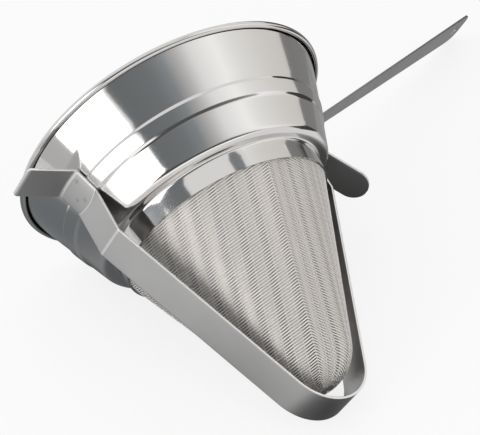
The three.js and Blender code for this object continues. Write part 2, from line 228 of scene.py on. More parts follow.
def strainer_axes():
    """The strainer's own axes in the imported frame, as a 4x4 matrix."""
    end_share = 0.97
    rim = node_points("rim_wire")
    centre = (rim.max(0) + rim.min(0)) / 2
    mouth = np.linalg.svd(rim - rim.mean(0), full_matrices=False)[2][2]
    if mouth @ (node_points("outer_mesh").mean(0) - centre) > 0:
        mouth = -mouth
    blade = node_points("handle") - centre
    blade -= np.outer(blade @ mouth, mouth)
    reach = np.linalg.norm(blade, axis=1)
    end = blade[reach > end_share * reach.max()]
    ahead = end.mean(0) / np.linalg.norm(end.mean(0))
    across = np.cross(mouth, ahead)
    sides = end @ across
    ahead += across * (sides.max() + sides.min()) / 2 / (end @ ahead).mean()
    ahead /= np.linalg.norm(ahead)
    across = np.cross(mouth, ahead)
    axes = Matrix(np.column_stack([ahead, across, mouth]).tolist()).to_4x4()
    axes.translation = Vector(centre)
    return axes


AXES = strainer_axes()


# Paths in the (radius, height) plane


def point(x, y):
    """A point or direction in a flat plane."""
    return np.array([x, y], float)


def turned_by(vector, turn):
    """A flat vector turned by an angle."""
    c, s = math.cos(turn), math.sin(turn)
    return point(c * vector[0] - s * vector[1], s * vector[0] + c * vector[1])


def unit(vector):
    """A vector of length one."""
    return vector / np.linalg.norm(vector)


def bent_path(corners, steps=10):
    """Points along straight stretches between (place, radius) corners, each corner rounded."""
    path = []
    for i, (place, radius) in enumerate(corners):
        if radius == 0:
            path.append(place)
            continue
        back = unit(corners[i - 1][0] - place)
        ahead = unit(corners[i + 1][0] - place)
        half = math.acos(np.clip(back @ ahead, -1, 1)) / 2
        centre = place + unit(back + ahead) * radius / math.sin(half)
        first = place + back * radius / math.tan(half) - centre
        turn = (math.pi - 2 * half) * np.sign(ahead[0] * back[1] - ahead[1] * back[0])
        path += [centre + turned_by(first, turn * k / steps) for k in range(steps + 1)]
    return np.array(path)


def arc(centre, radius, start, end, steps):
    """Points round a circle from one angle to another."""
    turns = np.linspace(start, end, steps + 1)
    return centre + radius * np.column_stack([np.cos(turns), np.sin(turns)])


def path_normals(path):
    """For each point of a path, its left-hand normal and how much a corner stretches an offset."""
    runs = np.diff(path, axis=0)
    runs /= np.linalg.norm(runs, axis=1)[:, None]
    into = np.vstack([runs[:1], runs])
    out = np.vstack([runs, runs[-1:]])
    left = np.column_stack([-into[:, 1] - out[:, 1], into[:, 0] + out[:, 0]])
    left /= np.linalg.norm(left, axis=1)[:, None]
    square = -left[:, 0] * into[:, 1] + left[:, 1] * into[:, 0]
    return left, 1 / square


def offset_path(path, distance):
    """The path moved to its left."""
    left, stretch = path_normals(path)
    return path + left * (stretch * distance)[:, None]


def stations(path, spacing, like=None):
    """The path with points added where two lie further apart than a spacing, counted on a like path."""
    like = path if like is None else like
    points = [path[0]]
    for k in range(len(path) - 1):
        count = max(1, math.ceil(np.linalg.norm(like[k + 1] - like[k]) / spacing))
        points += [path[k] + (path[k + 1] - path[k]) * n / count for n in range(1, count + 1)]
    return np.array(points)


# Where things lie on the bowl


def wall_point(depth, outward=0.0):
    """A point at a depth below the rim plane, a distance outside the wall's outer face."""
    b = settings().bowl
    down = point(-math.sin(b.wall_angle), -math.cos(b.wall_angle))
    out = point(math.cos(b.wall_angle), -math.sin(b.wall_angle))
    top = point(b.rim_radius - b.roll_radius, 0) + out * (b.sheet - b.roll_radius)
    way = (depth + top[1] + outward * out[1]) / -down[1]
    return top + down * way + out * outward


def collar_point(depth, inward):
    """A point at a depth below the rim plane, a distance inside the collar's outer face."""
    b = settings().bowl
    radius = b.collar_radius + (b.collar_depth - depth) * math.tan(b.collar_angle)
    return point(radius - inward / math.cos(b.collar_angle), -depth)


def weld_seats():
    """How far the middles of the handle, the hook and the strap stand off the wall."""
    s = settings().strap
    gap = settings().cloth.seat_gap
    first = settings().bowl.rib_height + gap + s.sheet / 2
    step = s.sheet + gap
    return first, first + step, first + 2 * step


def mesh_insets():
    """How far inside the collar's face the outer cone, the inner cone and the clamp ring begin."""
    c = settings().cloth
    outer = settings().bowl.sheet + c.seat_gap
    inner = outer + c.sheet + c.seat_gap
    return outer, inner, inner + c.sheet + c.seat_gap


# Meshes


def new_mesh(name, points, faces, material=None):
    """A mesh from rows of points and rows of corner numbers."""
    mesh = bpy.data.meshes.new(name)
    mesh.from_pydata(np.asarray(points).tolist(), [], np.asarray(faces, dtype=object).tolist())
    if material:
        mesh.materials.append(material)
    return mesh


def new_object(name, data):
    """An object in the open scene."""
    thing = bpy.data.objects.new(name, data)
    bpy.context.scene.collection.objects.link(thing)
    return thing


def new_piece(name, points, faces, material, replaced, smooth=SMOOTH_ANGLE):
    """A mesh drawn in the strainer's axes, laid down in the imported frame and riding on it."""
    mesh = new_mesh(name, points, faces, material)
    mesh.transform(AXES)
    mesh.shade_smooth()
    mesh.set_sharp_from_angle(angle=smooth)
    mesh.validate()
    piece = new_object(name, mesh)
    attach(piece, "root")
    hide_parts(*replaced)
    return piece


def ring_faces(rows, columns, closed_rows=True, flip=False):
    """Quads between the points of a grid whose columns close into a ring."""
    r = np.arange(rows if closed_rows else rows - 1)
    c = np.arange(columns)
    rr, cc = np.meshgrid(r, c, indexing="ij")
    r2 = (rr + 1) % rows
    c2 = (cc + 1) % columns
    corners = [rr * columns + cc, rr * columns + c2, r2 * columns + c2, r2 * columns + cc]
    if flip:
        corners.reverse()
    return np.stack([k.ravel() for k in corners], axis=1)


def turned_ring(profile, segments, start=0.0):
    """Points and faces of a closed (radius, height) profile turned about the strainer's axis."""
    turns = start + np.arange(segments) * FULL_TURN / segments
    r, z = profile[:, 0], profile[:, 1]
    points = np.stack(
        [np.outer(np.cos(turns), r), np.outer(np.sin(turns), r), np.tile(z, (segments, 1))], axis=2
    )
    return points.reshape(-1, 3), ring_faces(segments, len(profile), flip=True)


def sheet_outline(path, sheet):
    """The closed outline of a sheet bent along a path."""
    return np.vstack([offset_path(path, -sheet / 2), offset_path(path, sheet / 2)[::-1]])


def bar_section(half_width, half_sheet, edge, across):
    """The closed section of a flat bar as (outward, sideways) points, with rounded edges."""
    steps = 4
    most_width = 0.9
    most_sheet = 0.95
    inset = min(edge, half_width * most_width, half_sheet * most_sheet)
    flat = np.linspace(-1, 1, across + 1)[1:-1] * (half_width - inset)
    top = np.column_stack([np.full(len(flat), half_sheet), flat])
    corners = [(1, 1), (-1, 1), (-1, -1), (1, -1)]
    rounds = []
    for k, (up, side) in enumerate(corners):
        centre = point(up * (half_sheet - inset), side * (half_width - inset))
        start = math.pi / 2 * k
        rounds.append(arc(centre, inset, start, start + math.pi / 2, steps))
    under = np.column_stack([np.full(len(flat), -half_sheet), flat[::-1]])
    return np.vstack([top, rounds[0], rounds[1], under, rounds[2], rounds[3]])


def bend_highlight_amounts(path):
    """How much painted highlight each place of a path gets: most in the sharp bends."""
    most = 0.55
    gentle = 10 * MM
    runs = np.diff(path, axis=0)
    sizes = np.linalg.norm(runs, axis=1)
    ways = np.arctan2(runs[:, 1], runs[:, 0])
    turns = np.abs((np.diff(ways) + math.pi) % FULL_TURN - math.pi)
    sharpness = turns / (sizes[1:] + sizes[:-1]) * 2 * gentle
    return np.concatenate([[0], np.clip((sharpness - 1) * most, 0, most), [0]])


def bar(path, half_widths, sheet, edge, across=14, line_at=None, dips=()):
    """Points, faces and edge amounts of a flat bar bent along a path in the (X, Z) plane.

    An edge amount is one on the sheared edges and ends, and less on the faces of sharp bends.  Where
    the bar is also curved across, line_at gives its path at a distance from the middle.  A dip is a
    (place, radius, depth, side) mark that is pressed into the face on its left.
    """
    whole = bar_section(half_widths.max(), sheet / 2, edge, across)
    lines = [path if line_at is None else line_at(side) for side in whole[:, 1]]
    normals = [path_normals(line) for line in lines]
    lefts = np.stack([left for left, _ in normals], axis=1)
    stretches = np.stack([stretch for _, stretch in normals], axis=1)
    lines = np.stack(lines, axis=1)
    bends = bend_highlight_amounts(path)
    rows = []
    edges = []
    for i in range(len(path)):
        at_end = i in (0, len(path) - 1)
        shrink = edge if at_end else 0.0
        section = bar_section(half_widths[i] - shrink, sheet / 2 - shrink, edge, across)
        lift = section[:, 0] * stretches[i]
        for place, radius, depth, side in dips:
            away = np.hypot(np.linalg.norm(path[i] - place), section[:, 1] - side) / radius
            press = (1 - np.minimum(away, 1) ** 2) ** 2
            lift -= np.where(section[:, 0] > 0, press * depth, 0)
        flat = lines[i] + lefts[i] * lift[:, None]
        rows.append(np.column_stack([flat[:, 0], section[:, 1], flat[:, 1]]))
        # Edge amounts mark where the painted highlight goes: the sheared edges, the ends and the faces of
        # sharp bends.
        rim = half_widths[i] - shrink - edge
        least = 1.0 if at_end else bends[i]
        edges.append(np.clip((np.abs(section[:, 1]) - rim) / edge, least, 1))
    columns = len(rows[0])
    faces = ring_faces(len(rows), columns, closed_rows=False, flip=True).tolist()
    faces.append(list(range(columns)))
    faces.append(list(range(len(rows) * columns - 1, (len(rows) - 1) * columns - 1, -1)))
    return np.vstack(rows), faces, np.concatenate(edges)


def mark(piece, name, amounts):
    """Stores an amount for each corner of a piece, for the colour of the metal."""
    layer = piece.data.attributes.new(name, "FLOAT", "POINT")
    layer.data.foreach_set("value", amounts)


def corner_points(mesh):
    """For each face corner of a mesh, the number of its point."""
    numbers = np.empty(len(mesh.loops), int)
    mesh.loops.foreach_get("vertex_index", numbers)
    return numbers


def flatten(mesh, name, places):
    """Stores a flat place for each face corner of a mesh, for the patterns of its material."""
    layer = mesh.uv_layers.new(name=name)
    layer.data.foreach_set("uv", np.ravel(places))


def rounded_end(reach, half_width, corner, steps=10, start=0.0):
    """Distances along and half widths of a flat end with two rounded corners."""
    turns = np.linspace(start, math.pi / 2, steps + 1)
    return reach - corner + corner * np.sin(turns), half_width - corner + corner * np.cos(turns)


# Materials

# The colour sockets of a Mix node, which share their names with its other sockets
MIX_FIRST = 6
MIX_SECOND = 7
MIX_RESULT = 2
MADE = {}


def add_node(tree, kind, inputs=(), **options):
    """A node with its options; inputs are (socket or value, to input) pairs."""
    node = tree.nodes.new(kind)
    for key, value in options.items():
        setattr(node, key, value)
    for source, target in inputs:
        if isinstance(source, bpy.types.NodeSocket):
            tree.links.new(source, node.inputs[target])
        else:
            node.inputs[target].default_value = source
    return node


def new_material(name):
    """An empty material with its output node."""
    material = bpy.data.materials.new(name)
    material.use_nodes = True
    material.node_tree.nodes.clear()
    tree = material.node_tree
    return material, tree, tree.nodes.new("ShaderNodeOutputMaterial")


def patches(tree, *sizes):
    """Random patterns over the object, one for each (patch size, detail)."""
    place = add_node(tree, "ShaderNodeTexCoord").outputs["Object"]
    patterns = []
    for size, detail in sizes:
        inputs = [(place, "Vector"), (1 / size, "Scale"), (detail, "Detail")]
        patterns.append(add_node(tree, "ShaderNodeTexNoise", inputs).outputs["Fac"])
    return patterns


def layered(tree, base, layers):
    """A colour with others laid over it, given as (share, colour) pairs."""
    for share, over in layers:
        inputs = [(share, "Factor"), (base, MIX_FIRST), (over, MIX_SECOND)]
        base = add_node(tree, "ShaderNodeMix", inputs, data_type="RGBA").outputs[MIX_RESULT]
    return base


def finish_metal(tree, output, tint, pattern, rough, bump=None, lowest=0.0):
    """Ends a metal: its roughness follows a pattern, and bump is (height, strength, distance)."""
    inputs = [(pattern, "Value"), (lowest, "From Min"), (rough[0], "To Min"), (rough[1], "To Max")]
    roughness = add_node(tree, "ShaderNodeMapRange", inputs).outputs["Result"]
    inputs = [(tint, "Base Color"), (1.0, "Metallic"), (roughness, "Roughness")]
    if bump:
        relief = add_node(tree, "ShaderNodeBump", zip(bump, ("Height", "Strength", "Distance")))
        inputs.append((relief.outputs["Normal"], "Normal"))
    shader = add_node(tree, "ShaderNodeBsdfPrincipled", inputs)
    tree.links.new(shader.outputs["BSDF"], output.inputs["Surface"])


def polished_stainless():
    """Stainless sheet, pressed and buffed: a mirror with faint polishing lines and a slight waviness."""
    material, tree, output = new_material("polished_stainless")
    wave, grit = patches(tree, (40 * MM, 2.0), (1.2 * MM, 4.0))
    finish_metal(tree, output, settings().finish.polished, grit, (0.05, 0.13), (wave, 0.12, 0.6 * MM))
    return material


def satin_stainless():
    """Cold-rolled stainless strip: soft reflections on a fine even grain, and a painted highlight on its
    edges and sharp bends.
    """
    material, tree, output = new_material("satin_rolled_stainless")
    finish = settings().finish
    grain, cloud = patches(tree, (0.9 * MM, 5.0), (25 * MM, 2.0))
    dull = add_node(tree, "ShaderNodeAttribute", attribute_name="dull").outputs["Fac"]
    # The edge attribute lays the edge colour as a painted highlight on the sheared edges and sharp bends.
    edge = add_node(tree, "ShaderNodeAttribute", attribute_name="edge").outputs["Fac"]
    tint = layered(tree, finish.satin, [(cloud, finish.satin_dull), (dull, finish.dull), (edge, finish.edge)])
    mixed = add_node(tree, "ShaderNodeMath", [(grain, 0), (cloud, 1)], operation="MULTIPLY")
    finish_metal(tree, output, tint, mixed.outputs["Value"], (0.28, 0.46), (grain, 0.15, 0.05 * MM))
    return material


def wire(name, tint, patch, rough):
    """Wire of one colour that is shinier in some patches than in others."""
    material, tree, output = new_material(name)
    pattern = patches(tree, (patch, 3.0))[0]
    finish_metal(tree, output, tint, pattern, rough)
    return material


def drawn_wire():
    """Bright drawn stainless wire: shiny, with slight differences from wire to wire."""
    return wire("drawn_stainless_wire", settings().finish.wire, 6 * MM, (0.6, 0.8))


def rim_wire_groove_shade():
    """Plain unpolished steel wire inside the rolled rim: its dark colour is painted shade, so that the open
    edge of the rolled rim reads as a groove.
    """
    return wire("rim_wire_painted_groove_shade", settings().finish.rim_wire, 3 * MM, (0.5, 0.7))


def inner_cloth():
    """Stainless cloth behind the outer layer: bright wires, with painted shade in the gaps between them.

    Its wires lie a little askew behind those of the outer layer, so that its gaps show through in
    columns, as the two layers of the real cloth do.
    """
    material, tree, output = new_material("inner_cloth_with_painted_gap_shade")
    c = settings().cloth
    finish = settings().finish
    place = add_node(tree, "ShaderNodeUVMap", uv_map="cloth").outputs["UV"]
    lines = Vector((math.sin(c.slant) / c.pitch + 1 / c.column, math.cos(c.slant) / c.pitch, 0))
    inputs = [(place, 0), (lines * FULL_TURN, 1)]
    phase = add_node(tree, "ShaderNodeVectorMath", inputs, operation="DOT_PRODUCT").outputs["Value"]
    weave = add_node(tree, "ShaderNodeMath", [(phase, 0)], operation="SINE").outputs["Value"]
    lowest = -1.0
    inputs = [(weave, "Value"), (lowest, "From Min"), (0.6, "From Max")]
    share = add_node(tree, "ShaderNodeMapRange", inputs, interpolation_type="SMOOTHSTEP").outputs["Result"]
    # Painted shade towards the tip: this amount grows with depth.
    painted_tip_shade = add_node(tree, "ShaderNodeAttribute", attribute_name="painted_tip_shade").outputs["Fac"]
    # The gap colour is painted shade between the wires.
    tint = layered(tree, finish.cloth_gap_shade, [(painted_tip_shade, finish.cloth_gap_tip_shade), (share, finish.cloth)])
    finish_metal(tree, output, tint, weave, (0.65, 0.5), (weave, 0.5, 0.1 * MM), lowest)
    return material


def shared(make):
    """A material made once and then used again by every piece that has it."""
    name = make.__name__
    if name not in MADE:
        MADE[name] = make()
    return MADE[name]


# The pieces


class STRAINER_OT_bowl(bpy.types.Operator):
    """Turn the polished bowl with its rolled rim, rib, shoulder and collar"""

    bl_idname = "strainer.make_bowl"
    bl_label = "Bowl"

    def execute(self, context):
        b = settings().bowl
        segments = 240
        fillet_steps = 8
        roll_steps = 36
        spacing = 4 * MM
        middle = -b.sheet / 2
        crest = middle + b.rib_height
        rib_top = b.rib_depth - b.rib_width / 2
        rib_foot = b.rib_depth + b.rib_width / 2
        path = bent_path(
            [
                (collar_point(b.collar_depth, b.sheet / 2), 0),
                (collar_point(b.shoulder_depth + b.shoulder_drop, b.sheet / 2), b.collar_root),
                (wall_point(b.shoulder_depth, middle), b.shoulder_radius),
                (wall_point(rib_foot + b.rib_flank, middle), b.rib_toe),
                (wall_point(rib_foot, crest), b.rib_fillet),
                (wall_point(rib_top, crest), b.rib_fillet),
                (wall_point(rib_top - b.rib_flank, middle), b.rib_fillet),
                (wall_point(b.roll_radius, middle), 0),
            ],
            fillet_steps,
        )[:-1]
        bead = point(b.rim_radius - b.roll_radius, 0)
        roll = arc(bead, b.roll_radius - b.sheet / 2, math.pi - b.wall_angle, b.roll_end, roll_steps)
        outline = sheet_outline(stations(np.vstack([path, roll]), spacing), b.sheet)
        points, faces = turned_ring(outline, segments)
        new_piece("bowl_shell", points, faces, shared(polished_stainless), ["bowl"])
        # The rim wire gets the dark wire material: painted shade for the groove at the roll's open edge.
        rim_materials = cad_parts["rim_wire"].data.materials
        rim_materials.clear()
        rim_materials.append(shared(rim_wire_groove_shade))
        return {"FINISHED"}


class STRAINER_OT_clamp_ring(bpy.types.Operator):
    """Turn the ring that clamps the cloth inside the collar"""

    bl_idname = "strainer.make_clamp_ring"
    bl_label = "Clamp ring"

    def execute(self, context):
        c = settings().cloth
        segments = 192
        middle = mesh_insets()[2] + c.clamp_sheet / 2
        foot = settings().bowl.collar_depth - c.clamp_rise
        path = np.array([collar_point(foot, middle), collar_point(foot - c.clamp_height, middle)])
        points, faces = turned_ring(sheet_outline(path, c.clamp_sheet), segments)
        new_piece(
            "clamp_band", points, faces, shared(polished_stainless), ["mesh_clamp_ring"]
        )
        return {"FINISHED"}


def cone_profile(inward, tip_steps=24):
    """The (radius, height) line of a cloth face a distance inside the collar's face, from the top down."""
    b = settings().bowl
    c = settings().cloth
    radius = c.tip_radius - (inward - mesh_insets()[0])
    top = collar_point(b.collar_depth - c.overlap, inward)
    outs = [point(math.cos(a), -math.sin(a)) for a in (b.collar_angle, c.cone_angle)]
    mitre = (outs[0] + outs[1]) / (1 + outs[0] @ outs[1])
    corner = point(b.collar_radius, -b.collar_depth) - mitre * inward
    height = corner[1] - corner[0] / math.tan(c.cone_angle) + radius / math.sin(c.cone_angle)
    tip = arc(point(0, height), radius, -c.cone_angle, -math.pi / 2, tip_steps)
    tip[-1, 0] = 0
    return np.vstack([top, corner, tip])


class Cone:
    """A face of cloth that can be laid out flat, as it was cut.

    A place on it is a distance from the cone's point, on the flat cloth, and a turn about the axis.
    On the flat cloth a place is across and along: the long wires run along.
    """

    TIP_STEPS = 40
    SPACING = 1.0 * MM

    def __init__(self, inward):
        profile = cone_profile(inward, self.TIP_STEPS)
        line = stations(profile, self.SPACING)
        run = np.concatenate([[0], np.cumsum(np.linalg.norm(np.diff(line, axis=0), axis=1))])
        self.taper = math.sin(settings().cloth.cone_angle)
        self.reach = profile[1, 0] / self.taper + np.linalg.norm(profile[1] - profile[0])
        self.flat = (self.reach - run)[::-1]
        self.line = line[::-1]
        self.out = -path_normals(line)[0][::-1]

    def places(self, far, turn, lift):
        """Points lifted off the face, and the outward directions there."""
        r, z = (np.interp(far, self.flat, self.line[:, k]) for k in (0, 1))
        nr, nz = (np.interp(far, self.flat, self.out[:, k]) for k in (0, 1))
        c, s = np.cos(turn), np.sin(turn)
        normals = np.column_stack([nr * c, nr * s, nz])
        return np.column_stack([r * c, r * s, z]) + normals * np.reshape(lift, (-1, 1)), normals

    def rolled(self, across, along):
        """Distances from the point and turns for places on the flat cloth."""
        lie = settings().cloth.lie
        x = across * math.cos(lie) - along * math.sin(lie)
        y = across * math.sin(lie) + along * math.cos(lie)
        return np.hypot(x, y), np.arctan2(x, y) / self.taper

    def laid_flat(self, far, turn):
        """Places across and along on the flat cloth."""
        lie = settings().cloth.lie
        x = far * np.sin(turn * self.taper)
        y = far * np.cos(turn * self.taper)
        return x * math.cos(lie) + y * math.sin(lie), y * math.cos(lie) - x * math.sin(lie)


class Weave:
    """Flattened wires on a cone of cloth, gathered into one mesh."""

    FEWEST_POINTS = 4

    def __init__(self, cone):
        self.cone = cone
        self.points = []
        self.faces = []
        self.count = 0

    def lay(self, across, along, lift, half_widths, half_height):
        """Lays one wire, cut where the cloth ends and at its seam."""
        c = settings().cloth
        far, turn = self.cone.rolled(across, along)
        least = self.cone.flat[0] + c.tip_clear
        inside = (far > least) & (far < self.cone.reach) & (turn < c.seam) & (turn > c.seam - FULL_TURN)
        edges = np.flatnonzero(np.diff(np.concatenate([[0], inside.astype(int), [0]])))
        for start, end in zip(edges[::2], edges[1::2]):
            if end - start >= self.FEWEST_POINTS:
                part = slice(start, end)
                places = self.cone.places(far[part], turn[part], lift[part])
                self.add(*places, half_widths[part], half_height)

    def add(self, centres, normals, half_widths, half_height):
        """Adds a wire with a flat diamond section and closed ends."""
        run = np.gradient(centres, axis=0)
        side = np.cross(run, normals)
        side *= (half_widths / np.linalg.norm(side, axis=1))[:, None]
        under = np.cross(run, side)
        under *= half_height / np.linalg.norm(under, axis=1)[:, None]
        rows = np.stack([centres + side, centres + under, centres - side, centres - under], axis=1)
        length_points, sides = rows.shape[:2]
        total = length_points * sides
        faces = ring_faces(length_points, sides, closed_rows=False) + self.count
        self.points.append(rows.reshape(-1, 3))
        self.faces += faces.tolist()
        self.faces.append([self.count + k for k in reversed(range(sides))])
        self.faces.append([self.count + total - sides + k for k in range(sides)])
        self.count += total


class STRAINER_OT_cloth(bpy.types.Operator):
    """Weave the outer cone wire by wire and draw the inner cone behind it"""

    bl_idname = "strainer.make_cloth"
    bl_label = "Wire cloth"

    def execute(self, context):
        self.weave_outer()
        self.draw_inner()
        return {"FINISHED"}

    def weave_outer(self):
        """Cross wires that run down on both sides of the cloth's middle line, and long wires.

        The wires are straight on the flat cloth, as they were woven.  The real ones are taken to be
        about 0.5 mm apart; they are drawn about three times as coarse, so that they still show.
        """
        c = settings().cloth
        step = 1.8 * MM
        run_steps = 9
        back_steps = 7
        long_share = 0.8
        cone = Cone(mesh_insets()[0] + c.sheet / 2)
        weave = Weave(cone)
        spacing = c.pitch / math.cos(c.slant)
        reach = cone.reach + abs(c.ridge)
        level = c.ridge_run + c.ridge_back
        off = np.concatenate(
            [
                -np.arange(step, reach, step)[::-1],
                np.linspace(0, c.ridge_run, run_steps, endpoint=False),
                np.linspace(c.ridge_run, level, back_steps, endpoint=False),
                np.arange(level, reach, step),
            ]
        )
        drop = self.run_down(off)
        widths = c.wire_width * np.cos(np.arctan(np.gradient(drop, off))) / math.cos(c.slant)
        first = math.floor(-reach / spacing)
        last = math.ceil((reach + drop.max()) / spacing)
        for k in range(first, last + 1):
            lift = c.weave * np.cos(FULL_TURN * off / c.column + math.pi * k)
            weave.lay(c.ridge + off, k * spacing - drop, lift, widths, c.wire_height)
        along = np.arange(-reach, reach, spacing / 2)
        widths = np.full(len(along), c.wire_width / 2)
        for side in np.arange(math.floor(-2 * reach / c.column), 2 * reach / c.column) * c.column / 2:
            crossing = (along + self.run_down(side)) / spacing
            lift = -c.weave * np.cos(FULL_TURN * side / c.column + math.pi * crossing)
            across = np.full(len(along), c.ridge + side)
            weave.lay(across, along, lift, widths, c.wire_height * long_share)
        points = np.vstack(weave.points)
        new_piece(
            "woven_cone", points, weave.faces, shared(drawn_wire), ["outer_mesh"], math.pi
        )

    def run_down(self, off):
        """How far a cross wire has run down at a distance from the cloth's middle line."""
        c = settings().cloth
        beyond = 1.0
        level = c.ridge_run + c.ridge_back
        places = [-beyond, 0, c.ridge_run, level, level + beyond]
        far_down = math.tan(c.slant) * beyond
        return np.interp(off, places, [far_down, 0, math.tan(c.ridge_slant) * c.ridge_run, 0, far_down])

    def draw_inner(self):
        """A thin closed cone with its weave in its material."""
        c = settings().cloth
        segments = 160
        spacing = 3 * MM
        inset = mesh_insets()[1]
        outer = stations(cone_profile(inset), spacing)
        inner = stations(cone_profile(inset + c.sheet), spacing)
        profile = np.vstack([outer[::-1], inner])
        columns = len(profile) - 2
        points, quads = turned_ring(profile[1:-1], segments, c.seam)
        faces = quads[np.arange(len(quads)) % columns != columns - 1].tolist()
        low, high = len(points), len(points) + 1
        for k in range(segments):
            here = k * columns
            after = (k + 1) % segments * columns
            faces.append([low, after, here])
            faces.append([high, here + columns - 1, after + columns - 1])
        points = np.vstack([points, [0, 0, profile[0, 1]], [0, 0, profile[-1, 1]]])
        piece = new_piece("inner_cone", points, faces, shared(inner_cloth), ["inner_mesh"])
        # Painted shade on the gaps, growing with depth towards the tip.
        mark(piece, "painted_tip_shade", np.interp(-points[:, 2], [c.tip_shade_from, c.tip_shade_to], [0, 1]))
        self.unroll(piece.data, points, Cone(inset))

    def unroll(self, mesh, points, cone):
        """Gives each corner its place on the flat cloth, measured from the cloth's middle line."""
        c = settings().cloth
        corners = corner_points(mesh)
        starts = np.empty(len(mesh.polygons), int)
        mesh.polygons.foreach_get("loop_start", starts)
        turn = np.arctan2(points[:, 1], points[:, 0])
        turn = c.seam - FULL_TURN + (turn - c.seam) % FULL_TURN
        first = turn[corners[starts]]
        owner = np.repeat(np.arange(len(starts)), np.diff(np.append(starts, len(corners))))
        near = turn[corners]
        near = near + FULL_TURN * np.round((first[owner] - near) / FULL_TURN)
        far = np.interp(points[:, 2], cone.line[:, 1], cone.flat)[corners]
        across, along = cone.laid_flat(far, near)
        flatten(mesh, "cloth", np.column_stack([np.abs(across - c.ridge), along]))


class STRAINER_OT_guard_strap(bpy.types.Operator):
    """Bend the strap from the rest hook, round the tip and up to the handle"""

    bl_idname = "strainer.make_guard_strap"
    bl_label = "Guard strap"

    def execute(self, context):
        s = settings().strap
        wall_angle = settings().bowl.wall_angle
        foot_steps = 48
        lines_across = 26
        spacing = 0.8 * MM
        seat, _, top_seat = weld_seats()
        mirror = point(-1, 1)
        foot_centre = point(0, s.foot_radius - s.guard_depth)
        foot_radius = s.foot_radius - s.sheet / 2
        hook_bend = wall_point(s.hook_depth, seat) * mirror
        rest_end = wall_point(s.seat_end, seat) * mirror
        rest_knee = point(rest_end[0], -s.rest_knee)
        handle_end = wall_point(s.seat_end, top_seat)
        handle_knee = point(handle_end[0], -s.handle_knee)
        start = self.touch(rest_knee, foot_centre, foot_radius, 1)
        finish = self.touch(handle_knee, foot_centre, foot_radius, -1)
        direction = point(-math.cos(s.hook_rise), math.sin(s.hook_rise))
        along, hook_widths = rounded_end(s.hook_length, s.width / 2, s.hook_corner)
        curl = np.linspace(0, 1, len(along)) ** 2 * s.hook_lip
        hook = hook_bend + np.outer(along, direction) + np.outer(curl, turned_by(direction, -math.pi / 2))
        angles = [math.atan2(*(p - foot_centre)[::-1]) for p in (start, finish)]
        angles[0] -= FULL_TURN if angles[0] > 0 else 0
        foot = arc(foot_centre, foot_radius, angles[0], angles[1], foot_steps)
        up = bent_path(
            [(finish, 0), (handle_knee, s.bend), (handle_end, s.bend), (wall_point(s.top_depth, top_seat), 0)]
        )
        wallward = point(math.cos(wall_angle), math.sin(wall_angle))
        knee_way = unit(rest_knee - rest_end)

        def corners_at(side):
            """The bent path at a distance from the middle; the seat follows the round wall."""
            drop = side ** 2 / (2 * abs(rest_end[0]))
            top = hook_bend + direction * drop / (direction @ wallward)
            low = rest_end + knee_way * drop / (knee_way @ wallward)
            rest = bent_path([(hook[0], 0), (top, s.bend), (low, s.bend), (rest_knee, s.bend), (start, 0)])
            return np.vstack([rest[1:-1], foot, up[1:]])

        middle = corners_at(0.0)

        def line_at(side):
            """The same path with its hook, and with as many points as the middle one has."""
            return np.vstack([hook[::-1], stations(corners_at(side), spacing, middle)])

        path = line_at(0.0)
        widths = np.concatenate([hook_widths[::-1], np.full(len(path) - len(hook), s.width / 2)])
        dips = self.welds(hook_bend, rest_end)
        points, faces, edges = bar(path, widths, s.sheet, s.edge, lines_across, line_at, dips)
        piece = new_piece("tip_guard", points, faces, shared(satin_stainless), ["guard_strap"])
        # The edge amounts carry the painted highlight.
        mark(piece, "edge", edges)
        mark(piece, "dull", self.weld_amounts(points, dips))
        return {"FINISHED"}

    def touch(self, place, centre, radius, side):
        """Where a straight run from a place touches a circle."""
        reach = place - centre
        swing = side * math.acos(radius / np.linalg.norm(reach))
        return centre + turned_by(unit(reach) * radius, swing)

    def welds(self, top, end):
        """Spot-weld marks on the stretch that lies on the wall: (place, radius, depth, side)."""
        s = settings().strap
        spots = [(0.25, -6.5 * MM), (0.6, 3.2 * MM), (0.8, -0.8 * MM)]
        return [(top + (end - top) * part, s.weld_radius, s.weld_dip, side) for part, side in spots]

    def weld_amounts(self, points, dips):
        """How much each corner belongs to a weld mark, whose rim is soft."""
        rim = 1.2
        amount = np.zeros(len(points))
        for place, radius, _, side in dips:
            away = np.linalg.norm(points - np.array([place[0], side, place[1]]), axis=1) / radius
            amount = np.maximum(amount, np.clip(rim - away, 0, 1))
        return amount


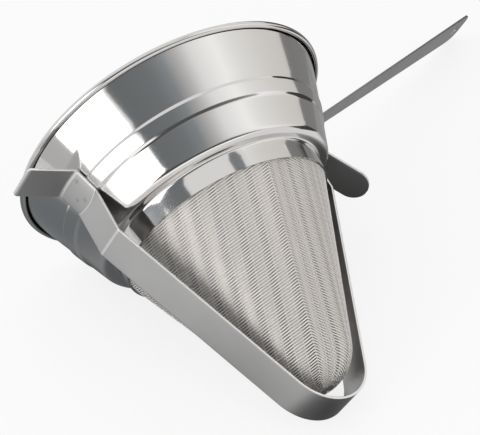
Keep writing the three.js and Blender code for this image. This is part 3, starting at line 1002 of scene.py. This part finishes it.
class STRAINER_OT_handle(bpy.types.Operator):
    """Bend the flat flared handle and punch its hanging hole"""

    bl_idname = "strainer.make_handle"
    bl_label = "Handle"

    def execute(self, context):
        h = settings().handle
        s = settings().strap
        corner_steps = 12
        flare_points = 60
        seat = weld_seats()[0]
        bend = wall_point(h.bend_depth, seat)
        direction = point(math.cos(h.rise), math.sin(h.rise))
        root = bend + direction * h.root
        foot = bent_path([(wall_point(h.foot_depth, seat), 0), (bend, h.bend), (root, 0)])
        foot = stations(foot, FOOT_SPACING)
        flare = math.atan2(h.end_width / 2 - h.root_width / 2, h.reach - h.root)
        end_along, end_widths = rounded_end(h.reach, h.end_width / 2, h.corner, corner_steps, -flare)
        straight = np.linspace(h.root, end_along[0], flare_points)[1:-1]
        flared = np.interp(straight, [h.root, end_along[0]], [h.root_width / 2, end_widths[0]])
        along = np.concatenate([straight, end_along])
        path = np.vstack([foot, bend + np.outer(along, direction)])
        widths = np.concatenate([np.full(len(foot), h.root_width / 2), flared, end_widths])
        points, faces, edges = bar(path, widths, s.sheet, s.edge)
        piece = new_piece("flat_handle", points, faces, shared(satin_stainless), ["handle"])
        mark(piece, "dull", edges)
        self.punch(piece, bend + direction * (h.reach - h.hole_inset), direction)
        return {"FINISHED"}

    def punch(self, piece, middle, direction):
        """Cuts the hanging hole and keeps the result as the piece's own mesh."""
        sides = 48
        half = settings().strap.sheet * 2
        turns = np.arange(sides) * FULL_TURN / sides
        along = np.array([direction[0], 0, direction[1]])
        across = np.array([0.0, 1.0, 0.0])
        normal = np.cross(along, across)
        ring = np.outer(np.cos(turns), along) + np.outer(np.sin(turns), across)
        ring = np.array([middle[0], 0, middle[1]]) + ring * settings().handle.hole_radius
        faces = ring_faces(2, sides, closed_rows=False).tolist()
        faces.append(list(range(sides))[::-1])
        faces.append(list(range(sides, 2 * sides)))
        mesh = new_mesh("punch", np.vstack([ring - normal * half, ring + normal * half]), faces)
        mesh.transform(AXES)
        punch = new_object("punch", mesh)
        cut = piece.modifiers.new("hole", "BOOLEAN")
        cut.object = punch
        cut.operation = "DIFFERENCE"
        cut.solver = "EXACT"
        whole = bpy.data.meshes.new_from_object(piece.evaluated_get(bpy.context.evaluated_depsgraph_get()))
        piece.modifiers.clear()
        old = piece.data
        piece.data = whole
        whole.shade_smooth()
        whole.set_sharp_from_angle(angle=SMOOTH_ANGLE)
        bpy.data.meshes.remove(old)
        bpy.data.objects.remove(punch)
        bpy.data.meshes.remove(mesh)
        whole.name = piece.name


class STRAINER_OT_pot_hook(bpy.types.Operator):
    """Bend the round-ended tab below the handle"""

    bl_idname = "strainer.make_pot_hook"
    bl_label = "Pot hook"

    def execute(self, context):
        h = settings().handle
        s = settings().strap
        end_steps = 20
        seat = weld_seats()[1]
        half = s.width / 2
        bend = wall_point(h.hook_bend_depth, seat)
        direction = point(math.cos(h.hook_drop), -math.sin(h.hook_drop))
        along, end_widths = rounded_end(h.hook_reach, half, half, end_steps)
        # The last of them has no width
        end = bend + np.outer(along[:-1], direction)
        foot = bent_path([(wall_point(h.foot_depth, seat), 0), (bend, h.hook_bend), (end[0], 0)])
        foot = stations(foot[:-1], FOOT_SPACING)
        path = np.vstack([foot, end])
        widths = np.concatenate([np.full(len(foot), half), end_widths[:-1]])
        points, faces, edges = bar(path, widths, s.sheet, s.edge)
        piece = new_piece("pot_tab", points, faces, shared(satin_stainless), ["pot_hook"])
        # The edge amounts carry the painted highlight.
        mark(piece, "edge", edges)
        return {"FINISHED"}


# The studio

PLAIN = (1.0, 1.0, 1.0)
WARM = (1.0, 0.98, 0.95)
COOL = (0.93, 1.0, 1.06)


def seen_by(tree):
    """One for the rays that see the background: camera, glossy and transmission rays."""
    rays = add_node(tree, "ShaderNodeLightPath").outputs
    seen = rays["Is Camera Ray"]
    for kind in ("Is Glossy Ray", "Is Transmission Ray"):
        inputs = [(seen, 0), (rays[kind], 1)]
        seen = add_node(tree, "ShaderNodeMath", inputs, operation="ADD", use_clamp=True).outputs["Value"]
    return seen


def shades(*stops, tint=PLAIN):
    """Linear colours from (place, grey) pairs, with a slight tint."""
    return [(place, [value * part for part in tint] + [1.0]) for place, value in stops]


def graded(name, stops, fade=None):
    """A glowing board whose shade changes along its first flat direction.

    Stops are (place, linear colour) pairs.  Where fade is given, the board fades out between its two
    places.
    """
    material, tree, output = new_material(name)
    place = add_node(tree, "ShaderNodeUVMap", uv_map="board").outputs["UV"]
    along = add_node(tree, "ShaderNodeSeparateXYZ", [(place, "Vector")]).outputs["X"]
    ramp = add_node(tree, "ShaderNodeValToRGB", [(along, "Fac")])
    elements = ramp.color_ramp.elements
    ready = len(elements)
    for k, (where, shade) in enumerate(stops):
        element = elements[k] if k < ready else elements.new(where)
        element.position = where
        element.color = shade
    surface = add_node(tree, "ShaderNodeEmission", [(ramp.outputs["Color"], "Color")]).outputs["Emission"]
    if fade:
        inputs = [(along, "Value"), (fade[0], "From Min"), (fade[1], "From Max")]
        share = add_node(tree, "ShaderNodeMapRange", inputs, interpolation_type="SMOOTHSTEP")
        clear = add_node(tree, "ShaderNodeBsdfTransparent")
        inputs = [(share.outputs["Result"], 0), (surface, 1), (clear.outputs["BSDF"], 2)]
        surface = add_node(tree, "ShaderNodeMixShader", inputs).outputs["Shader"]
    tree.links.new(surface, output.inputs["Surface"])
    return material


def board(name, place, stops, rows, fade=None):
    """A board that only the metal's reflections show.

    Place gives a point for two parts from 0 to 1.  The shades run along the first part, or along the
    second one where the board fades out.
    """
    columns = 60
    parts = [(u, v) for u in np.linspace(0, 1, columns + 1) for v in np.linspace(0, 1, rows + 1)]
    points = [place(u, v) for u, v in parts]
    flat = np.array([(v, u) if fade else (u, v) for u, v in parts])
    number = np.arange(len(parts)).reshape(columns + 1, rows + 1)
    faces = np.stack([number[:-1, :-1], number[:-1, 1:], number[1:, 1:], number[1:, :-1]], axis=2)
    mesh = new_mesh(name, points, faces.reshape(-1, 4), graded(name + "_paint", stops, fade))
    flatten(mesh, "board", flat[corner_points(mesh)])
    thing = new_object(name, mesh)
    thing.visible_camera = False
    thing.visible_shadow = False
    thing.visible_diffuse = False


def standing_board(name, centre, stops, low, high, distance=1.7):
    """A curved board round the strainer: stops by azimuth, low and high edges as (part, elevation)."""
    first, last = stops[0][0], stops[-1][0]

    def place(u, v):
        bottom = np.interp(u, *zip(*low))
        top = np.interp(u, *zip(*high))
        return towards(first + (last - first) * u, bottom + (top - bottom) * v, distance, centre)

    parts = [((turn - first) / (last - first), shade) for turn, shade in stops]
    board(name, place, parts, rows=6)


def lying_board(name, layer, centre, turns, reaches, stops, fade=None):
    """A flat board on the floor, round a centre; shades by reach where it fades, or else by turn."""
    layer_height = 0.2 * MM

    def place(u, v):
        turn = turns[0] + (turns[1] - turns[0]) * u
        reach = reaches[0] + (reaches[1] - reaches[0]) * v
        return towards(turn, 0, reach, (*centre, layer * layer_height))

    board(name, place, stops, rows=8, fade=fade)


def towards(azimuth, elevation, distance, origin):
    """A place seen from an origin; azimuth 0 is +Y and 90 is +X, in degrees."""
    a, e = math.radians(azimuth), math.radians(elevation)
    way = Vector((math.cos(e) * math.sin(a), math.cos(e) * math.cos(a), math.sin(e)))
    return Vector(origin) + way * distance


class STRAINER_OT_stage(bpy.types.Operator):
    """Set the pale floor, the soft studio light and the camera at the photograph's angle"""

    bl_idname = "strainer.make_stage"
    bl_label = "Studio"

    def execute(self, context):
        scene = context.scene
        scene.view_settings.view_transform = "Standard"
        middle_depth = 30 * MM
        bowl = AXES @ Vector((0, 0, -middle_depth))
        self.floor()
        self.world(scene)
        self.lamp(bowl)
        self.standing_boards(bowl)
        self.lying_boards()
        self.camera(scene)
        return {"FINISHED"}

    def floor(self):
        """A wide pale floor that is seen as white and still keeps the strainer's soft shadow."""
        size = 4.0
        white_share = 0.8
        material, tree, output = new_material("matt_pale_floor")
        inputs = [(seen_by(tree), 0), (white_share, 1)]
        share = add_node(tree, "ShaderNodeMath", inputs, operation="MULTIPLY")
        inputs = [(settings().finish.floor, "Base Color"), (0.9, "Roughness")]
        matt = add_node(tree, "ShaderNodeBsdfPrincipled", inputs)
        white = add_node(tree, "ShaderNodeEmission", [(1.0, "Strength")])
        inputs = [(share.outputs["Value"], 0), (matt.outputs["BSDF"], 1), (white.outputs["Emission"], 2)]
        mixed = add_node(tree, "ShaderNodeMixShader", inputs)
        tree.links.new(mixed.outputs["Shader"], output.inputs["Surface"])
        corners = [(-size, -size, 0), (size, -size, 0), (size, size, 0), (-size, size, 0)]
        new_object("floor", new_mesh("floor", corners, [(0, 1, 2, 3)], material))

    def world(self, scene):
        """An even white room, a little weaker as a light than it is seen."""
        as_light = 0.85
        world = bpy.data.worlds.new("white_room")
        world.use_nodes = True
        tree = world.node_tree
        tree.nodes.clear()
        output = tree.nodes.new("ShaderNodeOutputWorld")
        inputs = [(seen_by(tree), 0), (1 - as_light, 1), (as_light, 2)]
        strength = add_node(tree, "ShaderNodeMath", inputs, operation="MULTIPLY_ADD")
        inputs = [(strength.outputs["Value"], "Strength"), ((1, 1, 1, 1), "Color")]
        back = add_node(tree, "ShaderNodeBackground", inputs)
        tree.links.new(back.outputs["Background"], output.inputs["Surface"])
        scene.world = world

    def lamp(self, bowl):
        """A soft box at the left."""
        light = bpy.data.lights.new("soft_box", "AREA")
        light.shape = "RECTANGLE"
        light.size = 0.8
        light.size_y = 0.75
        light.energy = 4.0
        lamp = new_object("soft_box", light)
        lamp.location = towards(-110, 17, 1.2, bowl)
        lamp.rotation_euler = (lamp.location - bowl).to_track_quat("Z", "Y").to_euler()
        lamp.visible_camera = False

    def standing_boards(self, bowl):
        """Boards round the front, which the polished metal reflects.

        Azimuth runs from the soft box past the camera to the handle.
        """
        dark = shades((-127, 0.21), (-155, 0.25), (-172, 0.34), tint=COOL)
        bright = shades((-190, 0.66), (-206, 1.05), (-230, 1.3), (-244, 1.08))
        wall = dark + bright + shades((-262, 0.92), (-276, 0.84), tint=WARM)
        low = [(0, 30), (0.5, 30), (0.8, -4), (1, -4)]
        standing_board("graded_wall", bowl, wall, low, [(0, 57), (1, 62)])
        foot = shades((-127, 0.09), (-190, 0.12), (-215, 0.28), (-235, 0.7))
        standing_board("wall_foot", bowl, foot, [(0, 10)], [(0, 30)])
        bounce = shades((-127, 1.4), (-200, 1.4), (-222, 1.0), (-240, 0.8))
        standing_board("white_bounce", bowl, bounce, [(0, -3)], [(0, 10)])
        shade = shades((-78, 0.9)) + shades((-85, 0.55), (-92, 0.24), (-127, 0.2), tint=COOL)
        low = [(0, 2), (0.22, 2), (0.3, 26), (0.5, 36), (1, 36)]
        standing_board("shade_over_soft_box", bowl, shade, low, [(0, 49), (1, 52)], 1.1)
        overhead = shades((118, 0.28), (146, 0.28), tint=COOL)
        standing_board("shade_overhead", bowl, overhead, [(0, 65)], [(0, 77)])
        beside = shades((84, 0.28), (76, 0.26), (71, 0.05), (40, 0.05))
        standing_board("shade_by_handle", bowl, beside, [(0, -4)], [(0, 20)])

    def lying_boards(self):
        """Grey boards on the floor, which the underside of the metal reflects.

        The round ones are given with their layer, centre, radius, greys at the middle and the rim,
        the part of the radius where they begin to fade, and their tint.
        """
        rounds = [
            ("shade_behind", 1, (-0.23, 0.06), 0.17, (0.2, 0.26), 0.5, COOL),
            ("shade_under", 2, (-0.17, -0.07), 0.14, (0.2, 0.47), 0.2, PLAIN),
            ("shade_at_tip", 3, (-0.11, -0.157), 0.05, (0.08, 0.3), 0.4, PLAIN),
            ("shade_at_rim", 4, (-0.015, 0.02), 0.13, (0.05, 0.1), 0.55, PLAIN),
            ("shade_in_rim", 5, (-0.14, 0.05), 0.06, (0.05, 0.1), 0.4, PLAIN),
            ("shade_at_handle", 8, (0.15, 0.13), 0.2, (0.36, 0.36), 0.5, PLAIN),
            ("shade_at_shoulder", 9, (-0.152, -0.014), 0.05, (0.13, 0.16), 0.5, COOL),
        ]
        for name, layer, centre, radius, (middle, rim), fade_from, tint in rounds:
            stops = shades((0, middle), (1, rim), tint=tint)
            lying_board(name, layer, centre, (0, 360), (0, radius), stops, (fade_from, 1))
        below_bowl = (-0.105, 0.02)
        aside = shades((0, 0.07), (0.33, 0.06), (0.38, 0.28), (0.64, 0.27), (0.78, 0.12), (1, 0.04))
        lying_board("shade_beside", 6, below_bowl, (120, 30), (0.36, 1.7), aside)
        front = shades((0, 0.3), (1, 0.4))
        lying_board("shade_at_front", 0, below_bowl, (-45, -165), (0.26, 0.6), front)
        left = shades((0, 0.6), (1, 0.64))
        lying_board("shade_at_left", 7, below_bowl, (-74, -98), (0.42, 2.5), left)

    def camera(self, scene):
        """The photograph's place, direction and lens, given in the strainer's own axes."""
        data = bpy.data.cameras.new("photo_camera")
        data.sensor_width = 36
        data.lens = 105
        data.clip_end = 100
        eye = Vector((-533.77, -519.42, -397.96)) * MM
        ahead = Vector((0.6628, 0.6289, 0.4065)).normalized()
        upward = Vector((0.1108, -0.6192, 0.7774))
        right = ahead.cross(upward).normalized()
        upward = right.cross(ahead)
        turn = Matrix((right, upward, -ahead)).transposed().to_4x4()
        turn.translation = eye
        camera = new_object("photo_camera", data)
        camera.matrix_world = AXES @ turn
        scene.camera = camera


class VIEW3D_PT_strainer(bpy.types.Panel):
    """The strainer's pieces and sizes"""

    bl_label = "Conical strainer"
    bl_idname = "VIEW3D_PT_strainer"
    bl_space_type = "VIEW_3D"
    bl_region_type = "UI"
    bl_category = "Strainer"

    def draw(self, context):
        for operator in OPERATORS:
            self.layout.operator(operator.bl_idname)
        for name in ("bowl", "cloth", "strap", "handle", "finish"):
            group = getattr(context.scene.strainer, name)
            box = self.layout.box()
            box.label(text=name.capitalize())
            for key in group.bl_rna.properties.keys():
                if key not in ("rna_type", "name"):
                    box.prop(group, key)


GROUPS = (BowlSizes, ClothSizes, StrapSizes, HandleSizes, Finishes, StrainerSettings)
OPERATORS = (
    STRAINER_OT_stage,
    STRAINER_OT_bowl,
    STRAINER_OT_clamp_ring,
    STRAINER_OT_cloth,
    STRAINER_OT_guard_strap,
    STRAINER_OT_handle,
    STRAINER_OT_pot_hook,
)
CLASSES = GROUPS + OPERATORS + (VIEW3D_PT_strainer,)


def register():
    for cls in CLASSES:
        bpy.utils.register_class(cls)
    bpy.types.Scene.strainer = bpy.props.PointerProperty(
        type=StrainerSettings, name="Strainer", description="Sizes and colours of the strainer"
    )


def unregister():
    del bpy.types.Scene.strainer
    for cls in reversed(CLASSES):
        bpy.utils.unregister_class(cls)


def main():
    """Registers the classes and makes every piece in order."""
    register()
    bpy.ops.strainer.make_stage()
    bpy.ops.strainer.make_bowl()
    bpy.ops.strainer.make_clamp_ring()
    bpy.ops.strainer.make_cloth()
    bpy.ops.strainer.make_guard_strap()
    bpy.ops.strainer.make_handle()
    bpy.ops.strainer.make_pot_hook()


if __name__ == "__main__":
    main()
